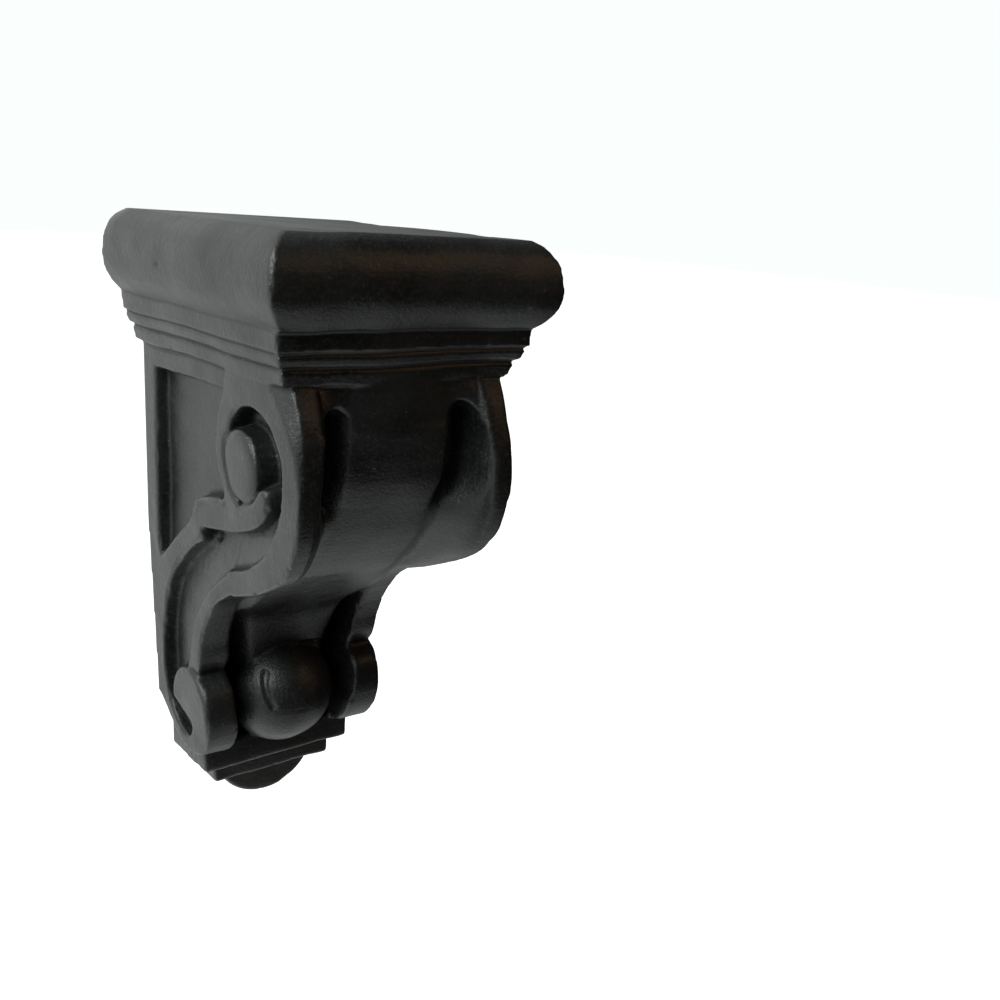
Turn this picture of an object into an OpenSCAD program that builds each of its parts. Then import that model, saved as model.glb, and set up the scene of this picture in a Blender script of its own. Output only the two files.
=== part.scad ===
// Carved scroll corbel, one solid piece: a moulded cap on two scroll cheeks,
// a crowned tongue between the cheeks that runs down into a ball, and a
// stepped foot with a round pendant.
//
// The origin is on the wall face, on the centreline at half height. +Y points
// into the wall and +Z up. Side drawings give the distance out from the wall
// and then the height, which is 0 at the top face and negative below it.

/* [Cap] */
// Width of the flat top face
top_w = 98; // [90:1:130]
// Depth of the flat top face, out from the wall
top_d = 125; // [122:1:160]
// Height of the cap, from the top face to its underside
cap_h = 49.5; // [46:0.5:62]
// Height of the large rounded nose at the top of the cap
nose_h = 31; // [26:0.5:32]
// How far the nose stands out past the top face
nose_out = 10; // [6:0.5:12]
// Height of the flat fillet under the nose
fillet_h = 7; // [4:0.5:9]
// How far the fillet stands out past the top face
fillet_out = 2; // [1:0.5:4]
// Height of the bevel between the fillet and the fascia
bevel_h = 4.5; // [3:0.5:6]
// How far the fascia lies inside the edge of the top face
fascia_in = 2; // [1:0.5:4]
// How much further back the fillet and the fascia lie on the front than on the sides
front_set_back = 2.5; // [0:0.5:4]

/* [Scroll cheeks] */
// Height of the cheeks, from the cap down to the bottom of the lower scroll
cheek_h = 170; // [140:1:206]
// Reach of the upper scroll, out from the wall
cheek_d = 129.5; // [108:0.5:156]
// Width over both cheeks under the cap
cheek_w_top = 92.5; // [90:0.5:97]
// Width over both cheeks at the lower scroll
cheek_w_low = 84; // [76:1:90]
// Width of the hollow between the cheeks
hollow_w = 66; // [62:1:70]
// Depth of the sunk panel and of the scroll channel
relief = 6; // [3:0.5:7.5]
// Width over the plain borders beside the wall and under the cap
border_w = 87.6; // [84:0.1:90]
// Width of the border beside the wall
stile_w = 11; // [8:0.5:13]
// Height of the border under the cap
rail_h = 8.5; // [6:0.5:12]
// Length of the border under the cap, out from the wall
rail_l = 76; // [60:1:80]
// Diameter of the knob in the eye of the upper scroll
knob_dia = 27.5; // [22:0.5:30]
// Diameter of the disc in the lower scroll
disc_dia = 28; // [22:0.5:29]
// How far the knob and the disc swell past their own rims
dome_h = 1.6; // [0.8:0.1:2.5]

/* [Tongue and ball] */
// Reach of the tongue under the cap, out from the wall
tongue_d = 121; // [114:0.5:124]
// Width of the tongue
tongue_w = 47; // [36:1:50]
// How far the face of the tongue falls from its middle to its edges
crown_drop = 2.5; // [1:0.5:5]
// Width of the neck between the tongue and the ball
neck_w = 37; // [28:1:42]
// Height that is left plain between the cap and the flutes
flute_drop = 8.5; // [6:0.5:14]
// Diameter of the ball
ball_dia = 43; // [34:0.5:48]

/* [Foot] */
// Width of the upper step
step_w = 70; // [60:1:80]
// Depth of the upper step, out from the wall
step_d = 34; // [28:0.5:42]
// Height of the upper step below the lower scroll
step_h = 11; // [8:0.5:16]
// Width of the lower step
toe_w = 56; // [52:1:60]
// Depth of the lower step
toe_d = 28.5; // [24:0.5:33]
// Height of the lower step
toe_h = 9; // [6:0.5:14]
// Width of the pendant where it leaves the lower step
pendant_w = 45; // [36:1:52]
// Depth of the pendant
pendant_d = 22; // [16:0.5:24]
// Drop of the pendant below the lower step
pendant_h = 14.5; // [10:0.5:18]

/* [Hidden] */
total_h = cap_h + cheek_h + step_h + toe_h + pendant_h;
// How deep one form runs into the next, so that they join as one solid
root = 4;
// Size at which the cheek and the tongue are drawn, before they take their own reach and height
drawn_d = 129.5;
drawn_h = 170;
drawn_tongue_d = 121;
flute_w = (hollow_w - tongue_w) / 2;
// Radius of the arch at the top of a flute, and how far above its centre the straight sides begin
flute_arch_r = flute_w * 0.62;
flute_spring = flute_arch_r * 0.2;
// Width and reach of the plain strip over the flutes
strip_w = border_w - root;
strip_d = tongue_d - crown_drop - 0.5;
// Place of the eye knob, the lower disc and the ball in the drawing of the cheek
knob_at = [91, 32.5];
disc_at = [36, 140.5];
ball_at = [36, 150.5];
// Radius of the ring channel round the eye, and how far its centre leads the knob's
ring_r = 21.5;
ring_lead = [6, -1.5];
// Centre and radius of the long sweep of the tongue
sweep_at = [16, 1.5];
sweep_r = 107;
// Thickness of the round stub that holds the ball to the wall behind it
ball_stub_dia = ball_dia * 0.8;
$fn = 96;
curve_steps = 5;

// Front edge of the cheek: belly, neck and lower scroll
belly = [[108, 0], [117.5, 9], [125.5, 21], [129.5, 36], [127, 52], [118, 66], [104, 75],
    [90, 81], [77, 85.5]];
neck = [[73, 86], [62, 93], [55.5, 100.5], [50, 108.5], [46.5, 116.5], [44.5, 124.5],
    [40.5, 131.5]];
low_scroll = [[42, 133], [47.5, 137], [50.2, 143], [50.8, 151], [48, 160], [41.5, 167.5],
    [33, 170], [22, 168], [11, 162.5], [0, 153]];
// Back of the upper scroll, from the cap down to the inner band
scroll_back = [[80, -root], [74.5, 8.5], [70.2, 18.5], [69.3, 30], [71.5, 39], [78, 47.5]];
// Top edge of the inner band, from the eye down to the stile
band_top = [[77, 49], [62, 51], [50, 51.5], [45, 53.5], [42, 58.5], [36, 63.5], [28, 71.5],
    [20, 78.5], [8, 88]];
// Lower edge of the inner band, which is the inner bank of the channel
inner_bank = [[112, 38], [107, 48], [97, 54.5], [87, 58.5], [72, 61.5], [58, 63.5], [48, 70.5],
    [35, 79.5], [25, 90.5], [16, 102.5], [12, 115.5], [11.5, 128.5], [13, 142.5], [17.5, 150.5],
    [25, 156.5], [33, 159], [40, 154.5]];
// Outer bank of the channel, one band's width inside the front edge
outer_bank = [[36, 140.5], [28, 130], [33, 118], [39, 105], [46, 94], [55, 84.5], [66, 77.5],
    [80, 73], [94, 68], [107, 59], [115, 48], [118, 34]];
// Tail of the inner band, curling up under the eye
tail = [[84, 60], [80, 48.5], [92, 47], [99, 42], [102, 36], [106, 40], [105, 47], [98, 56],
    [84, 60]];
// Floor of the flutes and of the hollow beside the tongue, down to the foot
hollow_floor = [[109, 5], [110, 14], [109, 32], [103, 52], [90, 72], [72, 86], [52, 98],
    [34, 112], [20, 126], [12, 140], [12, 176]];
// Front of the neck under the tongue
neck_front = [[96, 60], [80, 80], [64, 95], [52, 104], [46, 112], [43, 120], [40, 130]];

// A point of the cheek's or the tongue's drawing, at its own reach and height
cheek_reach = cheek_d / drawn_d;
tongue_reach = tongue_d / drawn_tongue_d;
function drawn(p, reach = cheek_reach) = [p[0] * reach, -cap_h - p[1] * cheek_h / drawn_h];

// A smooth curve through the given points
function between(a, b, c, d, t) = b + (c - a) * t / 2
    + (a * 2 - b * 5 + c * 4 - d) * t * t / 2 + (b * 3 - a - c * 3 + d) * t * t * t / 2;
function curve(p) = [
    for (i = [0:len(p) - 2]) for (j = [0:curve_steps - 1])
        between(p[max(i - 1, 0)], p[i], p[i + 1], p[min(i + 2, len(p) - 1)], j / curve_steps),
    p[len(p) - 1]];
function outline(p, reach = cheek_reach) = [for (q = p) drawn(q, reach)];
function last(p) = p[len(p) - 1];
function without_last(p) = [for (i = [0:len(p) - 2]) p[i]];

// Half of the width over the cheeks at a height, which narrows evenly downwards
function cheek_half(h) = (cheek_w_top + (cheek_w_low - cheek_w_top) * (-h - cap_h) / cheek_h) / 2;

// Stands a side drawing upright, reaching equally far to both sides
module side_slab(width) {
    mirror([0, 1, 0])
        rotate([90, 0, 90])
            linear_extrude(width, center = true)
                children();
}

// Stands a front drawing upright against the wall, reaching forwards
module front_slab(depth) {
    rotate([90, 0, 0])
        linear_extrude(depth)
            children();
}

module both_cheeks() {
    children();
    mirror([1, 0, 0])
        children();
}

// Section of the cap out to one edge; the lower members lie further in by set_back
module cap_section(half, set_back) {
    nose_r = (nose_h * nose_h / 4 + nose_out * nose_out) / (2 * nose_out);
    nose_x = half + nose_out - nose_r;
    fillet_x = half + fillet_out - set_back;
    fascia_x = half - fascia_in - set_back;
    fillet_low = -nose_h - fillet_h;
    intersection() {
        union() {
            translate([nose_x, -nose_h / 2])
                circle(nose_r);
            translate([-root, -nose_h])
                square([nose_x + root, nose_h]);
        }
        translate([-root, -nose_h])
            square([half + 2 * nose_out, nose_h]);
    }
    polygon([[-root, -nose_h / 2], [fillet_x, -nose_h / 2], [fillet_x, fillet_low],
        [fascia_x, fillet_low - bevel_h], [fascia_x, -cap_h], [-root, -cap_h]]);
}

// The cap's mouldings run along both sides and across the front, and meet in mitres
module cap() {
    intersection() {
        front_slab(top_d + 2 * nose_out) {
            cap_section(top_w / 2, 0);
            mirror([1, 0])
                cap_section(top_w / 2, 0);
        }
        side_slab(top_w + 4 * nose_out)
            cap_section(top_d, front_set_back);
    }
}

// Everything between the two cheek faces, or between faces set in from them
module between_faces(inset) {
    high = -cap_h + root;
    low = -cap_h - cheek_h - root;
    top_half = cheek_half(high) - inset;
    low_half = cheek_half(low) - inset;
    front_slab(cheek_d + root)
        polygon([[-top_half, high], [top_half, high], [low_half, low], [-low_half, low]]);
}

// Both cheeks and all between them, before anything is cut
module block() {
    intersection() {
        between_faces(0);
        side_slab(cheek_w_top + root)
            polygon(outline(concat([[0, -root / 2], [belly[0][0], -root / 2]], curve(belly),
                curve(neck), curve(low_scroll))));
    }
    front_slab(strip_d)
        translate([-strip_w / 2, -cap_h - flute_drop - flute_arch_r])
            square([strip_w, flute_drop + flute_arch_r + root / 2]);
}

// What is taken out between the cheeks: the arched flutes and the hollow below them
module hollow() {
    arch_h = -cap_h - flute_drop - flute_arch_r;
    far = 2 * drawn_d;
    intersection() {
        side_slab(hollow_w)
            polygon(outline(concat([[far, hollow_floor[0][1] - root]], curve(hollow_floor),
                [[far, last(hollow_floor)[1]]]), tongue_reach));
        front_slab(2 * cheek_d) {
            both_flutes()
                translate([(tongue_w + flute_w) / 2, arch_h])
                    circle(flute_arch_r);
            translate([-hollow_w / 2 - root, arch_h - cheek_h])
                square([hollow_w + 2 * root, cheek_h + flute_spring]);
        }
    }
}

module both_flutes() {
    children();
    mirror([1, 0])
        children();
}

// The sunk panel beside the upper scroll, under the rail
module panel_outline() {
    intersection() {
        polygon(outline(concat([[last(band_top)[0], -root]], curve(scroll_back), curve(band_top))));
        translate([stile_w, -cap_h - cheek_h])
            square([cheek_d, cheek_h - rail_h]);
    }
}

module channel_outline() {
    difference() {
        union() {
            polygon(outline(concat(curve(inner_bank), curve(outer_bank))));
            translate(drawn(knob_at + ring_lead))
                circle(ring_r);
        }
        polygon(outline(without_last(curve(tail))));
    }
}

// The panel and the channel, cut into both faces
module sunk_work() {
    difference() {
        side_slab(cheek_w_top + 2 * root) {
            panel_outline();
            channel_outline();
        }
        between_faces(relief);
    }
}

// The plain border beside the wall and under the cap lies a little below the scrolls
module border_rebate() {
    difference() {
        side_slab(cheek_w_top + 2 * root)
            border_outline();
        translate([-border_w / 2, -2 * cheek_d, -cap_h - 2 * cheek_h])
            cube([border_w, 4 * cheek_d, 4 * cheek_h]);
    }
}

module border_outline() {
    translate([-root, -cap_h - cheek_h])
        square([root + stile_w + 1, cheek_h + root]);
    translate([-root, -cap_h - rail_h - 1])
        square([root + rail_l, rail_h + 1 + root]);
}

// A round boss on the cheek face with a gently swelling end
module boss(at, dia) {
    place = drawn(at);
    half = cheek_half(place[1]);
    swell_r = (dia * dia / 4 + dome_h * dome_h) / (2 * dome_h);
    translate([0, -place[0], place[1]])
        rotate([0, 90, 0])
            intersection() {
                translate([0, 0, half - 2 * relief])
                    cylinder(h = 3 * relief, d = dia);
                translate([0, 0, half + dome_h - swell_r])
                    sphere(swell_r);
            }
}

module cheeks() {
    difference() {
        block();
        hollow();
        sunk_work();
        border_rebate();
    }
    both_cheeks() {
        boss(knob_at, knob_dia);
        boss(disc_at, disc_dia);
    }
}

// The tongue is a crowned drum behind a crowned upright face
module tongue() {
    sweep = drawn(sweep_at, tongue_reach);
    sweep_out = sweep_r * tongue_reach;
    crown_r = (tongue_w * tongue_w / 4 + crown_drop * crown_drop) / (2 * crown_drop);
    intersection() {
        translate([0, -sweep[0], sweep[1]])
            rotate([0, 90, 0])
                rotate_extrude()
                    intersection() {
                        translate([0, -tongue_w / 2])
                            square([sweep_out, tongue_w]);
                        translate([sweep_out - crown_r, 0])
                            circle(crown_r);
                    }
        translate([0, crown_r - tongue_d, -cap_h - cheek_h])
            cylinder(h = cheek_h + root / 2, r = crown_r);
        side_slab(tongue_w + root)
            translate([0, -cap_h - cheek_h])
                square([tongue_d, cheek_h + root / 2]);
    }
}

module neck_and_ball() {
    ball = drawn(ball_at);
    side_slab(neck_w)
        polygon(concat([[0, drawn(neck_front[0])[1]]], outline(curve(neck_front)),
            [ball, [0, ball[1]]]));
    translate([0, -ball[0], ball[1]])
        sphere(d = ball_dia);
    translate([0, 0, ball[1]])
        rotate([90, 0, 0])
            cylinder(h = ball[0], d = ball_stub_dia);
}

module foot() {
    step_low = -cap_h - cheek_h - step_h;
    toe_low = step_low - toe_h;
    pendant_r = (pendant_w * pendant_w / 4 + pendant_h * pendant_h) / (2 * pendant_h);
    front_slab(step_d)
        translate([-step_w / 2, step_low])
            square([step_w, step_h + 2 * root]);
    front_slab(toe_d)
        translate([-toe_w / 2, toe_low])
            square([toe_w, toe_h + root]);
    front_slab(pendant_d)
        translate([0, toe_low - pendant_h + pendant_r])
            circle(pendant_r);
}

module corbel() {
    color([0.07, 0.075, 0.075])
        translate([0, 0, total_h / 2])
            union() {
                cap();
                cheeks();
                tongue();
                neck_and_ball();
                foot();
            }
}

corbel();
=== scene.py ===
"""A carved scroll corbel of black-stained wood, as one piece.

The carver's way: a moulded cap, a block sawn to the side outline and a stepped foot
are made and joined. The block is carved from both sides and from the front. The whole
is then softened, and given hand-cut waves, worn arrises and small chips.

Drawings are in millimetres: d is the distance out from the wall, h the depth below
the top face, and x the distance to the right of the centre line.
"""

import bpy
import numpy as np
from mathutils import Matrix, Vector, kdtree


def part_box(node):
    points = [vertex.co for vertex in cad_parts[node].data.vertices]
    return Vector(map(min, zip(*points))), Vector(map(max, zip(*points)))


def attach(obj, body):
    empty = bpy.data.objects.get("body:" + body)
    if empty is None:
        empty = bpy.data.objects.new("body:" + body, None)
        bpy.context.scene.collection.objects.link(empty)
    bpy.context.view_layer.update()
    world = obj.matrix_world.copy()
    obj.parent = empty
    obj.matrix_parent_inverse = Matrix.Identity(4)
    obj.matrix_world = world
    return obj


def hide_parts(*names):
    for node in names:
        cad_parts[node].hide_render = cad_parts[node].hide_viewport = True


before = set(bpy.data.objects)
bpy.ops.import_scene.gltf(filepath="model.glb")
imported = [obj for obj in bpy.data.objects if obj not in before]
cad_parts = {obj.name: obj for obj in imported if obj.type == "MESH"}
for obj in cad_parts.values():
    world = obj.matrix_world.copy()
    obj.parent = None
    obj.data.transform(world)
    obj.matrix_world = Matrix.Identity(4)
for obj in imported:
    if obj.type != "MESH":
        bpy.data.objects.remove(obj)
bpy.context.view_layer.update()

# ---------------------------------------------------------------- measures

LOW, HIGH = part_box("corbel")
DRAWN_H = 254
MM = (HIGH.z - LOW.z) / DRAWN_H
TOP = HIGH.z / MM

TOP_HALF = 49.1
TOP_DEPTH = 125
CAP_H = 49.5
FRONT_SET_BACK = 2.5
CHEEK_HALF_TOP = 46.3
CHEEK_HALF_LOW = 40.4
CHEEK_H = 170
STEP = {"half": 34.9, "depth": 33.8, "low": 230.5, "height": 14}
TOE = {"half": 28.1, "depth": 28.4, "low": 239.5, "height": 12}
PENDANT_R = 24.7
PENDANT_DEPTH = 22

BORDER_HALF = 43.8
PANEL_HALF = 38.3
STILE_W = 11
RAIL_LOW = 58
CHANNEL_CUT = 6
RING_CUT = 8.6
KNOB_AT = (87, 82.2)
KNOB_R = 14
RING_AT = (96.5, 80.3)
RING_R = 21
DISC_AT = (33.2, 197.3)
DISC_R = 17.2

STRIP_D = 120.3
FLUTE_AT = 26.5
FLUTE_R = 6.6
FLUTE_TOP = 58
CORE_HALF = 32.2
CHAMFER_AT = 43
CHAMFER_W = 3.3
INNER_ARRIS = 2.6
CROWN = 1.7
CROWN_HALF = 20
BALL = {"x": -0.7, "d": 34.6, "h": 197.6, "r": 22.8}

VOXEL = 0.64
MAX_TRIANGLES = 192000
GRID_CELL = 0.7

CHIPS = 70
DENT = {"x": -59, "d": 52, "h": 17, "size": (3, 3.4, 1.6), "deep": 0.5}
BALL_CREASE = [(-13.5, 183), (-15.2, 187), (-15, 192), (-13.4, 196.5)]

# Side drawing, from the cap down, as (d, h)
BELLY = [(108, 49), (112.5, 53), (117.5, 58.5), (125.5, 70.5), (129.2, 85.5), (127, 101.5),
         (118, 115.5), (104, 124.5), (90, 130.8), (77.5, 135.2)]
NECK = [(73, 135.7), (62, 142.5), (55.5, 150), (50, 158), (46.5, 166), (44.5, 174), (40.5, 181)]
LOW_SCROLL = [(42, 182.5), (47.5, 186.5), (50.2, 192.5), (50.8, 200.5), (48, 209.5),
              (41.5, 217), (33, 219.5), (22, 217.5), (11, 212), (0, 202.5)]
SCROLL_BACK = [(80, 45.5), (74.7, 57), (69.2, 69), (66.6, 79), (67, 86.3), (69.3, 92), (72, 96)]
BAND_TOP = [(70, 98.4), (62, 99.2), (51, 102.3), (46, 106.5), (43, 112), (30.5, 122.2),
            (17.3, 132.6), (8, 139), (-6, 149)]
INNER_BANK = [(106, 87.5), (106.5, 92.3), (104, 97.3), (97, 102.6), (84.3, 107.3), (72, 110.3),
              (60, 112.6)]
INNER_BANK_LOW = [(52.5, 114), (51.2, 119.5), (45, 123.4), (35.5, 129.6), (26, 137), (18.5, 146),
                  (14, 155), (10.8, 166), (9, 180), (9, 196), (12, 203.5), (18, 209), (25, 212.6),
                  (31, 212.5), (34, 208)]
OUTER_BANK = [(36, 192), (33, 181), (36, 172), (39.5, 163), (43.5, 154), (49.5, 146), (58.5, 137.5),
              (69, 129.5), (73.5, 126), (82, 123.2), (91, 119.4), (102, 112.5), (110, 103.5),
              (114.5, 95.5), (117, 90), (118, 83.5)]
TAIL = [(80, 108.5), (75, 103), (82, 98.2), (94.5, 94.2), (102, 88), (106, 88.2), (106.5, 92.3),
        (104, 97.3), (97, 102.6)]

# Front drawing: reach of each surface, as (d, h)
TONGUE = [(120.3, 48), (121, 60), (120.8, 70), (118.5, 86), (112.5, 100), (106, 111),
          (94.5, 124), (87, 130), (73.5, 140), (60.5, 149), (49.5, 157), (44.5, 165),
          (42, 172), (40.5, 178), (38.5, 186), (34, 196), (30, 222)]
FLOOR = [(105.5, 48), (105.5, 83), (107.5, 89), (110.5, 96), (109.5, 102), (104, 110), (94, 120),
         (81.5, 130), (70, 140), (61, 147), (50, 152), (35, 159), (25, 168), (18, 180),
         (14, 195), (13, 224)]
# Half-width at the shoulder of the tongue, and where its side meets the floor, as (x, h)
SHOULDER = [(19.5, 48), (19.5, 85), (18.2, 95), (18, 110), (18, 125), (18.5, 140), (19, 152),
            (17.5, 165), (15.5, 175), (14, 190), (14, 224)]
SIDE_FOOT = [(28, 48), (27.5, 80), (23, 92), (21.5, 100), (23, 112), (26.5, 130), (28.3, 142),
             (28.5, 152), (27.4, 162), (25.6, 175), (24.4, 190), (24, 224)]
# Inner edge of the cheek's front face, and where its inner wall meets the floor, as (x, h)
INNER_EDGE = [(33, 48), (33.5, 62), (35.5, 78), (36.5, 95), (36.5, 112), (35, 128), (32, 141),
              (30.5, 151), (29, 165), (28, 175), (28.6, 182), (28.2, 192), (27.5, 200),
              (26, 207), (26, 224)]
WALL_FOOT = [(31.2, 48), (31.5, 80), (29, 88), (24.5, 98), (23.5, 112), (26, 125), (28, 137),
             (28.8, 150), (27.8, 162), (26, 175), (24.8, 190), (24.6, 224)]
# Front of the cheeks beside the flutes, which swells at once from under the cap
CHEEK_FRONT = [(118.5, 48), (120.8, 51), (124, 57.5), (126.5, 64), (128, 71), (129, 79),
               (129.2, 85.5)]


# ---------------------------------------------------------------- drawing tools

def curve(points, steps=6):
    """A smooth line through the points."""
    p = np.array(points, float)
    p = np.vstack([p[:1], p, p[-1:]])
    t = np.linspace(0, 1, steps, endpoint=False)[:, None]
    parts = []
    for a, b, c, d in zip(p[:-3], p[1:-2], p[2:-1], p[3:]):
        parts.append(b + (c - a) * t / 2 + (2 * a - 5 * b + 4 * c - d) * t ** 2 / 2
                     + (3 * b - a - 3 * c + d) * t ** 3 / 2)
    return np.vstack(parts + [p[-1:]])


def reach(points, h):
    """Value of a drawn line at each height."""
    line = curve(points)
    return np.interp(h, line[:, 1], line[:, 0])


def ramp(low, high, value):
    """0 below low, 1 above high, and a smooth step between."""
    t = np.clip((value - low) / (high - low), 0, 1)
    return t * t * (3 - 2 * t)


def soft_max(a, b, blend):
    """The larger value, with the corner between the two filled by a fillet."""
    t = np.clip(0.5 + (a - b) / (2 * blend), 0, 1)
    return b + (a - b) * t + blend * t * (1 - t)


def distance(line, d, h):
    """Distance from each place to a drawn line."""
    best = np.full(d.shape, 1e9)
    for (ad, ah), (bd, bh) in zip(line[:-1], line[1:]):
        run = (bd - ad) ** 2 + (bh - ah) ** 2
        if run == 0:
            continue
        t = np.clip(((d - ad) * (bd - ad) + (h - ah) * (bh - ah)) / run, 0, 1)
        best = np.minimum(best, (d - ad - t * (bd - ad)) ** 2 + (h - ah - t * (bh - ah)) ** 2)
    return np.sqrt(best)


def depth_inside(outline, d, h):
    """Distance in from the outline's edge, negative outside it."""
    inside = np.zeros(d.shape, bool)
    ring = np.vstack([outline, outline[:1]])
    for (ad, ah), (bd, bh) in zip(ring[:-1], ring[1:]):
        if ah == bh:
            continue
        crosses = (ah > h) != (bh > h)
        inside ^= crosses & (d < ad + (h - ah) * (bd - ad) / (bh - ah))
    return np.where(inside, 1, -1) * distance(ring, d, h)


def waves(places, size, seed, count=14):
    """Soft seeded noise in about -1..1, with swells about as long as size."""
    draw = np.random.default_rng(seed)
    total = np.zeros(len(places))
    for _ in range(count):
        way = draw.normal(size=3)
        way *= 2 * np.pi / (size * draw.uniform(0.7, 1.5) * np.linalg.norm(way))
        total += np.sin(places @ way + draw.uniform(0, 2 * np.pi))
    return total / np.sqrt(count / 2) / 1.6


# ---------------------------------------------------------------- carving

def cheek_half(h):
    """Half of the width over the cheeks, which narrows evenly downwards."""
    return CHEEK_HALF_TOP + (CHEEK_HALF_LOW - CHEEK_HALF_TOP) * (h - CAP_H) / CHEEK_H


def side_relief(d, h):
    """Half of the width at each place of the side face, with all that is cut into it."""
    face = cheek_half(h)

    field = np.vstack([[(-8, 45)], curve(SCROLL_BACK), curve(BAND_TOP)])
    in_field = depth_inside(field, d, h)
    half = face - np.maximum(face - BORDER_HALF, 0) * ramp(-0.2, 0.8, in_field)
    in_panel = np.minimum(np.minimum(in_field, d - STILE_W), h - RAIL_LOW)
    wall = 1.1 + 0.3 * np.sin(h / 9)
    half -= (half - PANEL_HALF) * ramp(0, wall, in_panel)

    bank = np.vstack([curve(INNER_BANK), curve(INNER_BANK_LOW)])
    outer = curve(OUTER_BANK)
    in_channel = depth_inside(np.vstack([bank, outer]), d, h)
    in_ring = RING_R - np.hypot(d - RING_AT[0], h - RING_AT[1])
    in_tail = depth_inside(curve(TAIL + TAIL[:1]), d, h)
    from_bank = distance(bank, d, h)
    across = from_bank / (from_bank + distance(outer, d, h) + 1e-6)
    cut = (CHANNEL_CUT - 3.4 * across ** 1.3) * ramp(0, 1, np.minimum(in_channel, -in_tail))
    # the deep notch where the inner bank turns down
    notch = np.hypot((d - 56.5) / 3.5, (h - 116) / 4)
    cut += 1.6 * ramp(1, 0.4, notch) * ramp(0, 1.5, in_channel)
    ring_floor = RING_CUT - 2.2 * ramp(96, 80, d) * ramp(70, 60, h)
    ring = ring_floor * ramp(0, 1.6, np.minimum(in_ring, -in_tail))
    cut = np.maximum(cut, ring)
    # one short undercut nick at the foot of the outer band
    nick = distance(np.array([(74, 124.6), (82, 121.6), (89, 119.2)]), d, h)
    cut += 0.9 * ramp(1.6, 0.4, nick)
    half -= cut

    knob_r = np.hypot(d - KNOB_AT[0], h - KNOB_AT[1])
    knob = face + 0.9 - 0.7 * (knob_r / KNOB_R) ** 2 - 1.8 * (knob_r / KNOB_R) ** 8
    half = np.where(knob_r < KNOB_R, half + (knob - half) * ramp(0, 1.1, KNOB_R - knob_r), half)
    seam = np.abs(knob_r - KNOB_R)
    half -= 0.9 * ramp(1, 0, seam)

    # the raised lip where the band's upper edge swings to the knob
    lip = distance(curve([(49, 104.8), (55, 101.6), (63, 100.6), (71, 99.2)]), d, h)
    half += 0.7 * ramp(1.9, 0.3, lip)

    disc_r = np.hypot(d - DISC_AT[0], h - DISC_AT[1])
    in_disc = DISC_R - disc_r
    disc = face + 0.7 * ramp(212, 196, h)
    half = half + (disc - half) * ramp(0, 1.2, in_disc) * ramp(213, 206, h + (d - 40) * -0.35)
    # the ear that curls over the disc
    half -= 1.6 * ramp(1.5, 0, np.abs(in_disc + 0.9)) * ramp(192, 186, h) * ramp(33, 40, d)
    return half


def front_relief(x, h):
    """Reach of the front at each place: cheeks, flutes, tongue, neck and ball."""
    a = np.abs(x)
    outline = np.vstack([curve(BELLY), curve(NECK), curve(LOW_SCROLL[:-3])])
    edge_reach = np.interp(h, outline[:, 1], outline[:, 0])
    floor = reach(FLOOR, h)
    inner = reach(INNER_EDGE, h)

    # cheeks: a square shoulder under the cap, a rounded inner arris, a crisp outer one
    square = np.where(h < 85.5, np.maximum(edge_reach, reach(CHEEK_FRONT, h)), edge_reach)
    cheek = square + (edge_reach - square) * np.clip((a - CHAMFER_AT) / CHAMFER_W, 0, 1)
    t = np.clip(1 - (a - inner) / INNER_ARRIS, 0, 1)
    cheek -= INNER_ARRIS * 0.7 * (1 - np.sqrt(1 - t ** 2 * 0.98))
    cheek -= 0.4 * ramp(1.8, 0, cheek_half(h) - a) * ramp(60, 75, h)
    wall_foot = reach(WALL_FOOT, h)
    t = np.clip((a - wall_foot) / (inner + 0.6 - wall_foot), 0, 1)
    shape = floor + (cheek - floor) * np.sin(t * np.pi / 2) ** 1.25

    # the tongue, crowned across, its sides falling to a sharp crease at the floor
    crest = reach(TONGUE, h)
    shoulder = reach(SHOULDER, h)
    foot = reach(SIDE_FOOT, h)
    crown = CROWN * (a / CROWN_HALF) ** 2
    fall = np.clip((a - shoulder) / (foot - shoulder), 0, 1) ** (1.4 + 0.8 * ramp(125, 145, h))
    tongue = crest - crown - (crest - crown - floor) * fall
    tongue = np.where(a < foot, tongue, floor)
    shape = np.where(a < foot, soft_max(tongue, np.minimum(shape, tongue + 8), 0.05), shape)

    # the plain strip over the flutes, which end in arches
    arch = FLUTE_R - np.sqrt(np.maximum(FLUTE_R ** 2 - (a - FLUTE_AT) ** 2, 0))
    under = ramp(-0.7, 1.5, h - FLUTE_TOP - arch)
    strip = STRIP_D + 0.5 - CROWN * (np.minimum(a, 21) / CROWN_HALF) ** 2
    strip += (cheek - strip) * ramp(24, 38, a)
    shape = strip + (shape - strip) * under

    in_ball = np.maximum(BALL["r"] ** 2 - (x - BALL["x"]) ** 2 - (h - BALL["h"]) ** 2, 0)
    ball = np.where(in_ball > 0, BALL["d"] + np.sqrt(in_ball), 0)
    shape = np.where(in_ball > 0, soft_max(ball, shape, 5 + 4 * ramp(6, -8, x)), shape)
    # a short shadowed groove between neck and ball
    groove = distance(np.array([(7, 177), (14, 177.6), (21, 178.5)]), x, h)
    shape -= 1.6 * ramp(3.2, 0.3, groove) * ramp(24.5, 21, a)
    return shape


# ---------------------------------------------------------------- modelling

def only(piece):
    """Selects one piece and makes it active."""
    bpy.ops.object.select_all(action="DESELECT")
    piece.select_set(True)
    bpy.context.view_layer.objects.active = piece


def places(piece):
    """The piece's vertices as an array, in drawing millimetres."""
    co = np.empty(len(piece.data.vertices) * 3)
    piece.data.vertices.foreach_get("co", co)
    return co.reshape(-1, 3) / MM


def set_places(piece, co):
    piece.data.vertices.foreach_set("co", (co * MM).ravel())
    piece.data.update()


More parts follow.
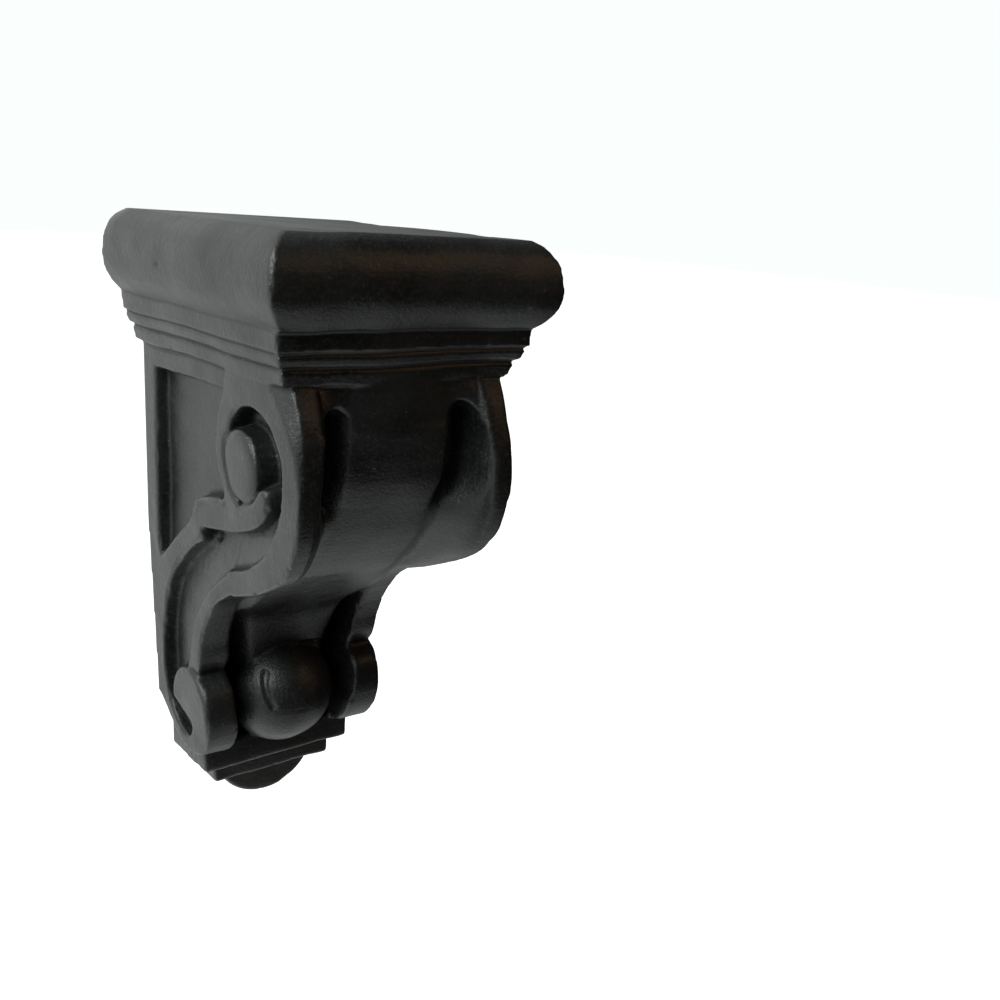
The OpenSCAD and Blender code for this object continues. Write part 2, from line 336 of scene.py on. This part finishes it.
def stand(x, d, h):
    """Drawing measures as places in the frame, in millimetres."""
    return np.column_stack([np.broadcast_to(x, np.shape(h)), -np.asarray(d, float), TOP - h])


def start(add, name, **settings):
    """Adds a primitive at the origin and names it."""
    bpy.ops.object.select_all(action="DESELECT")
    add(**settings)
    piece = bpy.context.object
    piece.name = name
    return piece


def edit(piece, *steps):
    """Runs edit-mode steps on the whole piece."""
    only(piece)
    bpy.ops.object.mode_set(mode="EDIT")
    bpy.ops.mesh.select_all(action="SELECT")
    for step in steps:
        step()
    bpy.ops.object.mode_set(mode="OBJECT")


def outward():
    bpy.ops.mesh.select_all(action="SELECT")
    bpy.ops.mesh.normals_make_consistent(inside=False)


def extrude(value):
    return lambda: bpy.ops.mesh.extrude_region_move(TRANSFORM_OT_translate={"value": value})


def modifier(piece, kind, **settings):
    only(piece)
    added = piece.modifiers.new(kind.title(), kind)
    for key, value in settings.items():
        setattr(added, key, value)
    bpy.ops.object.modifier_apply(modifier=added.name)


def join_solid(piece, other, operation):
    """Boolean of two closed solids; the second is used up."""
    modifier(piece, "BOOLEAN", object=other, operation=operation, solver="MANIFOLD")
    bpy.data.objects.remove(other)


def make_cap():
    """The cap: its top face drawn down in rings through the mouldings."""
    nose = curve([(0, 0), (4.1, 2.2), (7.1, 5.4), (9.2, 10.6), (9.8, 15.8), (9.5, 20.4),
                  (8.2, 24), (6, 27.4), (3.2, 30.4)], 3)
    lower = [(2.7, 31), (2.9, 32), (2.4, 37.4), (0.9, 37.9), (0.7, 38.9), (1.5, 39.4), (0.1, 42.6),
             (-1.9, 43.2), (-2.1, 44.2), (-1.2, 44.8), (-2.3, 49.2), (-3.4, 49.6), (-6, 50.8)]
    rings = [(out, h, 0) for out, h in nose]
    rings += [(out, h, FRONT_SET_BACK) for out, h in lower]
    cap = start(bpy.ops.mesh.primitive_plane_add, "cap", size=MM)
    half, depth, height = TOP_HALF, TOP_DEPTH, 0
    corners = [(-half, 0), (half, 0), (-half, depth), (half, depth)]
    set_places(cap, stand([c[0] for c in corners], [c[1] for c in corners], np.zeros(4)))

    def draw_down():
        nonlocal half, depth, height
        for out, h, back in rings[1:]:
            bpy.ops.mesh.extrude_region_move(
                TRANSFORM_OT_translate={"value": (0, 0, (height - h) * MM)})
            wider = (TOP_HALF + out) / half
            deeper = (TOP_DEPTH + out - back) / depth
            bpy.ops.transform.resize(value=(wider, deeper, 1),
                                     center_override=(0, 0, (TOP - h) * MM))
            half, depth, height = half * wider, depth * deeper, h

    edit(cap, draw_down, outward)
    return cap


def make_block():
    """The block, sawn to the side outline."""
    belly = curve(BELLY)
    rough_front = [(0, 47.5), (131, 47.5), (131, 85)]
    outline = np.vstack([rough_front, belly[belly[:, 1] > 86], curve(NECK), curve(LOW_SCROLL)])
    block = start(bpy.ops.mesh.primitive_circle_add, "corbel", vertices=len(outline),
                  fill_type="NGON", radius=MM)
    half = CHEEK_HALF_TOP + 2
    set_places(block, stand(-half, outline[:, 0], outline[:, 1]))
    edit(block, extrude((2 * half * MM, 0, 0)), outward)
    return block


def relief_grid(name, across, down):
    """A flat grid of fine cells, and the drawing place of each of its vertices."""
    wide = int((across[1] - across[0]) / GRID_CELL)
    high = int((down[1] - down[0]) / GRID_CELL)
    grid = start(bpy.ops.mesh.primitive_grid_add, name, x_subdivisions=wide,
                 y_subdivisions=high, size=MM)
    flat = places(grid)
    u = across[0] + (flat[:, 0] + 0.5) * (across[1] - across[0])
    v = down[0] + (flat[:, 1] + 0.5) * (down[1] - down[0])
    return grid, u, v


def make_side_relief():
    """A solid bounded by the carved faces of both sides."""
    grid, d, h = relief_grid("side_relief", (-4, 136), (44, 224))
    half = side_relief(d, h)
    set_places(grid, stand(half, d, h))
    edit(grid, extrude((-MM, 0, 0)))
    count = len(half)
    set_places(grid, np.vstack([places(grid)[:count], stand(-half, d, h)]))
    edit(grid, outward)
    return grid


def make_front_relief():
    """A solid bounded by the carved front."""
    grid, x, h = relief_grid("front_relief", (-50, 50), (44, 224))
    set_places(grid, stand(x, front_relief(x, h), h))
    edit(grid, extrude((0, MM, 0)))
    behind = -6
    set_places(grid, np.vstack([places(grid)[:len(x)], stand(x, np.full(len(x), behind), h)]))
    edit(grid, outward)
    return grid


def make_core():
    """The tongue, neck and ball between the cheeks, carved by the same front."""
    core = make_front_relief()
    core.name = "core"
    room = start(bpy.ops.mesh.primitive_cube_add, "room", size=MM)
    co = places(room)
    set_places(room, stand(co[:, 0] * 2 * CORE_HALF, (0.5 - co[:, 1]) * 130,
                           48 + (0.5 - co[:, 2]) * 174))
    join_solid(core, room, "INTERSECT")
    return core


def make_step(name, half, depth, low, height):
    """One step of the foot, with its edges eased."""
    step = start(bpy.ops.mesh.primitive_cube_add, name, size=MM)
    co = places(step)
    set_places(step, stand(co[:, 0] * 2 * half, (0.5 - co[:, 1]) * depth,
                           low - (co[:, 2] + 0.5) * height))
    edit(step, lambda: bpy.ops.mesh.bevel(offset=1.3 * MM, segments=3))
    co = places(step)
    co[:, 1] = np.where(co[:, 1] > -1.4, 0, co[:, 1])
    set_places(step, co)
    return step


def make_pendant():
    """The round pendant under the foot: a disc stood against the wall, its rim eased."""
    pendant = start(bpy.ops.mesh.primitive_cylinder_add, "pendant", vertices=112,
                    radius=PENDANT_R * MM, depth=PENDANT_DEPTH * MM)
    edit(pendant, lambda: bpy.ops.mesh.bevel(offset=1.6 * MM, segments=4))
    co = places(pendant)
    turned = stand(co[:, 0], PENDANT_DEPTH / 2 + co[:, 2], DRAWN_H - 0.2 - PENDANT_R - co[:, 1])
    turned[:, 1] = np.where(turned[:, 1] > -1.7, 0, turned[:, 1])
    set_places(pendant, turned)
    edit(pendant, outward)
    return pendant


# ---------------------------------------------------------------- hand work

def neighbours_mean(value, edges, count):
    """Mean over each vertex's neighbours."""
    total = np.zeros((len(count),) + value.shape[1:])
    np.add.at(total, edges[:, 0], value[edges[:, 1]])
    np.add.at(total, edges[:, 1], value[edges[:, 0]])
    return total / (count[:, None] if value.ndim > 1 else count)


def mesh_edges(piece):
    edges = np.empty(len(piece.data.edges) * 2, int)
    piece.data.edges.foreach_get("vertices", edges)
    edges = edges.reshape(-1, 2)
    return edges, np.bincount(edges.ravel(), minlength=len(piece.data.vertices))


def normals(piece):
    n = np.empty(len(piece.data.vertices) * 3)
    piece.data.vertex_normals.foreach_get("vector", n)
    return n.reshape(-1, 3)


def bulge(co, n, edges, count, rounds):
    """How far each place stands out from its surroundings: + on arrises, - in corners."""
    mean = co
    for _ in range(rounds):
        mean = neighbours_mean(mean, edges, count)
    return ((co - mean) * n).sum(1)


def hand_work(piece):
    """Waves of the carver's tools, worn arrises, dents and chips, as moves of the mesh."""
    edges, count = mesh_edges(piece)
    co = places(piece)
    co += 0.4 * (neighbours_mean(co, edges, count) - co)
    set_places(piece, co)
    n = normals(piece)
    out = bulge(co, n, edges, count, 8)

    off_wall = ramp(0, 10, -co[:, 1])
    for axis, amount in ((0, 0.45), (1, 0.5), (2, 0.4)):
        co[:, axis] += amount * waves(co, 46, 11 + axis) * off_wall
        co[:, axis] += 0.11 * waves(co, 15, 21 + axis) * off_wall

    arris = ramp(0.10, 0.45, out)
    worn = ramp(-0.1, 0.9, waves(co, 9, 31))
    co -= n * (arris * (0.12 + 0.4 * worn) * off_wall)[:, None]

    # gouge marks: plain in the ring and the channel, faint elsewhere
    below_face = cheek_half(TOP - co[:, 2]) - np.abs(co[:, 0])
    sunk = ramp(3.4, 4.6, below_face) * ramp(34, 35, np.abs(co[:, 0])) * (np.abs(n[:, 0]) > 0.6)
    marks = waves(co * (1, 1, 0.45), 3.4, 41, 20)
    outer_part = ramp(60, 76, -co[:, 1] + 0.5 * (TOP - co[:, 2] - 80))
    co += n * (marks * (0.012 + 0.07 * sunk * outer_part) * off_wall)[:, None]
    strokes = waves(co * (0.25, 1, 1), 5, 43, 18)
    co += n * (strokes * 0.025 * off_wall)[:, None]

    draw = np.random.default_rng(5)
    edge_places = np.flatnonzero((out > 0.25) & (co[:, 1] < -12))
    for spot in draw.choice(edge_places, CHIPS, replace=False):
        size = draw.uniform(0.7, 1.9)
        near = np.linalg.norm(co - co[spot], axis=1)
        co -= n * (0.35 * size * ramp(size, 0, near) * draw.uniform(0.3, 1))[:, None]
    # the dent in the left side of the nose
    middle = (DENT["x"], -DENT["d"], TOP - DENT["h"])
    dent = np.linalg.norm((co - middle) / DENT["size"], axis=1)
    co -= n * (DENT["deep"] * ramp(1, 0, dent))[:, None]

    # a leaf-like crease on the left flank of the ball
    near = distance(curve(BALL_CREASE), co[:, 0], TOP - co[:, 2])
    on_ball = ramp(-30, -36, co[:, 1]) * (TOP - co[:, 2] > 176)
    co -= n * (0.8 * on_ball * ramp(1.7, 0.2, near))[:, None]

    co[:, 1] = np.where(co[:, 1] > -0.6, 0, co[:, 1])
    low = np.array(LOW) / MM
    high = np.array(HIGH) / MM
    set_places(piece, np.clip(co, low, high))
    return out


def store(piece, name, value):
    attribute = piece.data.attributes.new(name, "FLOAT", "POINT")
    attribute.data.foreach_set("value", value.astype(np.float32))


def thin(piece, out):
    """Thins the mesh, and stores how each place stands out, for the colour to follow: worn arrises
    and painted shade in the hollows.
    """
    dense = places(piece)
    tree = kdtree.KDTree(len(dense))
    for i, place in enumerate(dense):
        tree.insert(place, i)
    tree.balance()
    triangles = sum(len(p.vertices) - 2 for p in piece.data.polygons)
    modifier(piece, "DECIMATE", ratio=min(1, MAX_TRIANGLES / triangles))
    kept = places(piece)
    nearest = np.array([tree.find(place)[1] for place in kept])
    store(piece, "stands_out", np.where(kept[:, 1] > -0.3, 0, out[nearest]))


def make_corbel():
    corbel = make_block()
    join_solid(corbel, make_side_relief(), "INTERSECT")
    join_solid(corbel, make_front_relief(), "INTERSECT")
    join_solid(corbel, make_core(), "UNION")
    join_solid(corbel, make_cap(), "UNION")
    join_solid(corbel, make_step("step", **STEP), "UNION")
    join_solid(corbel, make_step("toe", **TOE), "UNION")
    join_solid(corbel, make_pendant(), "UNION")
    modifier(corbel, "REMESH", mode="VOXEL", voxel_size=VOXEL * MM)
    out = hand_work(corbel)
    thin(corbel, out)
    only(corbel)
    bpy.ops.object.shade_smooth()
    # the sawn back stays flat right out to its edge
    for face in corbel.data.polygons:
        if face.normal.y > 0.9 and face.center.y > -0.2 * MM:
            face.use_smooth = False
    return corbel


# ---------------------------------------------------------------- finish

class Value:
    """A socket that takes part in sums; each operator adds its Math node."""

    def __init__(self, shader, socket):
        self.shader = shader
        self.socket = socket

    def math(self, operation, *values):
        return self.shader.node("ShaderNodeMath", {"operation": operation}, values)

    def __add__(self, other):
        return self.math("ADD", self, other)

    def __sub__(self, other):
        return self.math("SUBTRACT", self, other)

    def __mul__(self, other):
        return self.math("MULTIPLY", self, other)

    def __radd__(self, other):
        return self.math("ADD", other, self)

    def __rsub__(self, other):
        return self.math("SUBTRACT", other, self)

    def __rmul__(self, other):
        return self.math("MULTIPLY", other, self)

    def step(self, low, high):
        """0 where the value is below low, 1 above high, smooth between."""
        return self.shader.node("ShaderNodeMapRange", {"interpolation_type": "SMOOTHSTEP"},
                                {"Value": self, "From Min": low, "From Max": high})


class Shader:
    """A material whose nodes are added by one method."""

    def __init__(self, name):
        self.material = bpy.data.materials.new(name)
        self.material.use_nodes = True
        self.tree = self.material.node_tree
        self.surface = self.tree.nodes["Principled BSDF"]

    @classmethod
    def on(cls, tree):
        """The same tools on another node tree, such as the world's."""
        shader = cls.__new__(cls)
        shader.tree = tree
        return shader

    def set(self, socket, value):
        if isinstance(value, Value):
            self.tree.links.new(value.socket, socket)
        elif value is not None:
            socket.default_value = value

    def node(self, kind, settings=None, inputs=(), output=0):
        made = self.tree.nodes.new(kind)
        for key, value in (settings or {}).items():
            setattr(made, key, value)
        pairs = inputs.items() if isinstance(inputs, dict) else enumerate(inputs)
        for key, value in pairs:
            self.set(made.inputs[key], value)
        return Value(self, made.outputs[output])

    def noise(self, at, scale, detail=3, roughness=0.55):
        return self.node("ShaderNodeTexNoise", {}, {
            "Vector": at, "Scale": scale, "Detail": detail, "Roughness": roughness})

    def mix(self, share, first, second):
        return self.node("ShaderNodeMix", {"data_type": "RGBA"},
                         {0: share, 6: first, 7: second}, 2)


FULL_STAIN = (0.0040, 0.0045, 0.0042, 1)
THIN_STAIN = (0.0150, 0.0165, 0.0155, 1)
PALE_STREAK = (0.022, 0.0235, 0.022, 1)
DARK_GRAIN = (0.004, 0.0043, 0.0042, 1)
# painted shade: the colour of the hollows and corners
PAINTED_HOLLOW_SHADE = (0.0022, 0.0024, 0.0023, 1)
WORN_ARRIS = (0.062, 0.064, 0.060, 1)
FINE_DUST = (0.026, 0.027, 0.025, 1)
# painted light: paler colour on the foot and pendant
PAINTED_FOOT_LIGHT = (0.075, 0.079, 0.073, 1)
SPECK = (0.42, 0.43, 0.42, 1)


def black_stained_wood():
    """Thin satin black over carved wood: streaks, worn arrises, dust and pale specks, with painted
    shade in the hollows and painted light towards the foot.
    """
    s = Shader("black_stained_wood")
    at = s.node("ShaderNodeTexCoord", output=3)
    stands_out = s.node("ShaderNodeAttribute", {"attribute_name": "stands_out"}, output=2)
    height = s.node("ShaderNodeSeparateXYZ", {}, {0: at}, output=2)
    along = s.node("ShaderNodeMapping", {}, {"Vector": at, "Scale": (12, 12, 260)})
    upright = s.node("ShaderNodeMapping", {}, {"Vector": at, "Scale": (160, 160, 14)})
    streaks = s.noise(along, 1, 5, 0.6)
    grain = s.noise(upright, 1.6, 4, 0.6)
    cloud = s.noise(at, 26, 4, 0.6)
    fine = s.noise(at, 700, 3, 0.65)
    pitted = s.noise(at, 1500, 2, 0.5)

    arris = stands_out.step(0.10, 0.5) * cloud.step(0.35, 0.65)
    # painted shade: the deeper a place lies in a hollow, the darker its colour is painted
    shaded_hollows = (0 - stands_out).step(0.05, 0.4)
    stain_and_painted_light = s.mix(cloud.step(0.3, 0.7), FULL_STAIN, THIN_STAIN)
    stain_and_painted_light = s.mix(streaks.step(0.52, 0.78) * 0.45, stain_and_painted_light, PALE_STREAK)
    stain_and_painted_light = s.mix(grain.step(0.6, 0.75) * 0.25, stain_and_painted_light, DARK_GRAIN)
    # painted shade darkens the colour in hollows and corners
    stain_and_painted_light = s.mix(shaded_hollows * 0.7, stain_and_painted_light, PAINTED_HOLLOW_SHADE)
    stain_and_painted_light = s.mix(arris * 0.55, stain_and_painted_light, WORN_ARRIS)
    stain_and_painted_light = s.mix(fine.step(0.46, 0.68) * 0.6, stain_and_painted_light, FINE_DUST)
    # painted light: the colour grows paler towards the foot and pendant
    painted_foot_light = (0 - height).step(0.088, 0.112) * (0.4 + 0.6 * cloud)
    stain_and_painted_light = s.mix(painted_foot_light * 0.8, stain_and_painted_light, PAINTED_FOOT_LIGHT)
    specks = fine.step(0.69, 0.73) * (0.35 + shaded_hollows)
    stain_and_painted_light = s.mix(specks * 0.6, stain_and_painted_light, SPECK)
    s.set(s.surface.inputs["Base Color"], stain_and_painted_light)

    rough = 0.13 + 0.26 * cloud + 0.12 * streaks + 0.14 * fine - 0.06 * arris + 0.3 * shaded_hollows
    s.set(s.surface.inputs["Roughness"], rough)
    s.surface.inputs["IOR"].default_value = 1.5

    relief = 0.4 * grain + 0.6 * streaks + 0.9 * fine + 0.25 * pitted + 0.8 * cloud
    bump = s.node("ShaderNodeBump", {}, {"Strength": 0.6, "Distance": 0.0004, "Height": relief})
    s.set(s.surface.inputs["Normal"], bump)
    return s.material


# ---------------------------------------------------------------- stage

def pale_floor():
    s = Shader("pale_floor")
    at = s.node("ShaderNodeTexCoord", output=3)
    tone = s.noise(at, 3, 3)
    s.set(s.surface.inputs["Base Color"],
          s.mix(tone, (0.86, 0.86, 0.86, 1), (0.90, 0.90, 0.90, 1)))
    s.surface.inputs["Roughness"].default_value = 0.8
    s.surface.inputs["Emission Color"].default_value = (1, 1, 1, 1)
    s.surface.inputs["Emission Strength"].default_value = 0.8
    return s.material


FLOOR_SIZE = 12
FLOOR_DROP = 0.05


def make_floor():
    """A plain pale floor, a little below the pendant, that sends no light back up."""
    floor = start(bpy.ops.mesh.primitive_plane_add, "floor", size=FLOOR_SIZE,
                  location=(0, 0, LOW.z - FLOOR_DROP))
    bpy.ops.object.transform_apply(location=True)
    floor.visible_glossy = False
    floor.visible_diffuse = False
    floor.data.materials.append(pale_floor())


def area_light(name, place, size, power, colour=(1, 1, 1)):
    light = bpy.data.lights.new(name, "AREA")
    light.shape = "RECTANGLE"
    light.size, light.size_y = size
    light.energy = power
    light.color = colour
    lamp = bpy.data.objects.new(name, light)
    bpy.context.scene.collection.objects.link(lamp)
    lamp.location = place
    aim = Vector((0, -0.06, 0)) - Vector(place)
    lamp.rotation_euler = aim.to_track_quat("-Z", "Y").to_euler()


ROOM_LIGHT = 0.02
WINDOW_LIGHT = 1.12
LOW_LIGHT = 0.68


def make_lights():
    """Soft light from the wall side and the left, some from below, a dark room in front."""
    world = bpy.data.worlds.new("studio")
    bpy.context.scene.world = world
    world.use_nodes = True
    s = Shader.on(world.node_tree)
    way = s.node("ShaderNodeTexCoord")
    part = s.node("ShaderNodeSeparateXYZ", {}, {0: way})
    out = part.socket.node.outputs
    east, north, height = (Value(s, out[axis]) for axis in "XYZ")
    toward_window = (0.68 * north - 0.73 * east).step(-0.36, 0.95)
    bright = ROOM_LIGHT + WINDOW_LIGHT * toward_window
    bright = bright + LOW_LIGHT * (0 - height).step(0.52, 0.88)
    seen = s.node("ShaderNodeLightPath", output=0)
    level = bright + seen * (1 - bright)
    s.set(world.node_tree.nodes["Background"].inputs["Color"],
          s.node("ShaderNodeCombineColor", {}, (0.96 * level, level, 0.985 * level)))
    area_light("left_window", (-0.95, -0.32, 0.92), (0.8, 0.8), 13, (0.93, 0.98, 1))
    area_light("warm_lamp", (0.71, -0.86, 0.74), (0.07, 0.07), 0.6, (1, 0.58, 0.3))
    area_light("warm_wall", (0.98, -0.82, 0.36), (0.12, 0.16), 0.25, (1, 0.55, 0.28))


def make_camera():
    camera = bpy.data.cameras.new("camera")
    camera.lens = 40.48
    camera.shift_x = -0.0167
    camera.shift_y = 0.0608
    camera.clip_start = 0.02
    holder = bpy.data.objects.new("camera", camera)
    bpy.context.scene.collection.objects.link(holder)
    right = Vector((0.76966, -0.63436, 0.07218))
    up = Vector((0.13882, 0.27662, 0.95090))
    back = right.cross(up)
    turn = Matrix((right, up, back)).transposed().to_4x4()
    holder.matrix_world = Matrix.Translation((-0.22072, -0.44239, 0.13875)) @ turn
    bpy.context.scene.camera = holder


# ---------------------------------------------------------------- the part

corbel = make_corbel()
corbel.data.materials.clear()
corbel.data.materials.append(black_stained_wood())
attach(corbel, "root")
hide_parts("corbel")

make_floor()
make_lights()
make_camera()
bpy.context.scene.view_settings.view_transform = "Standard"
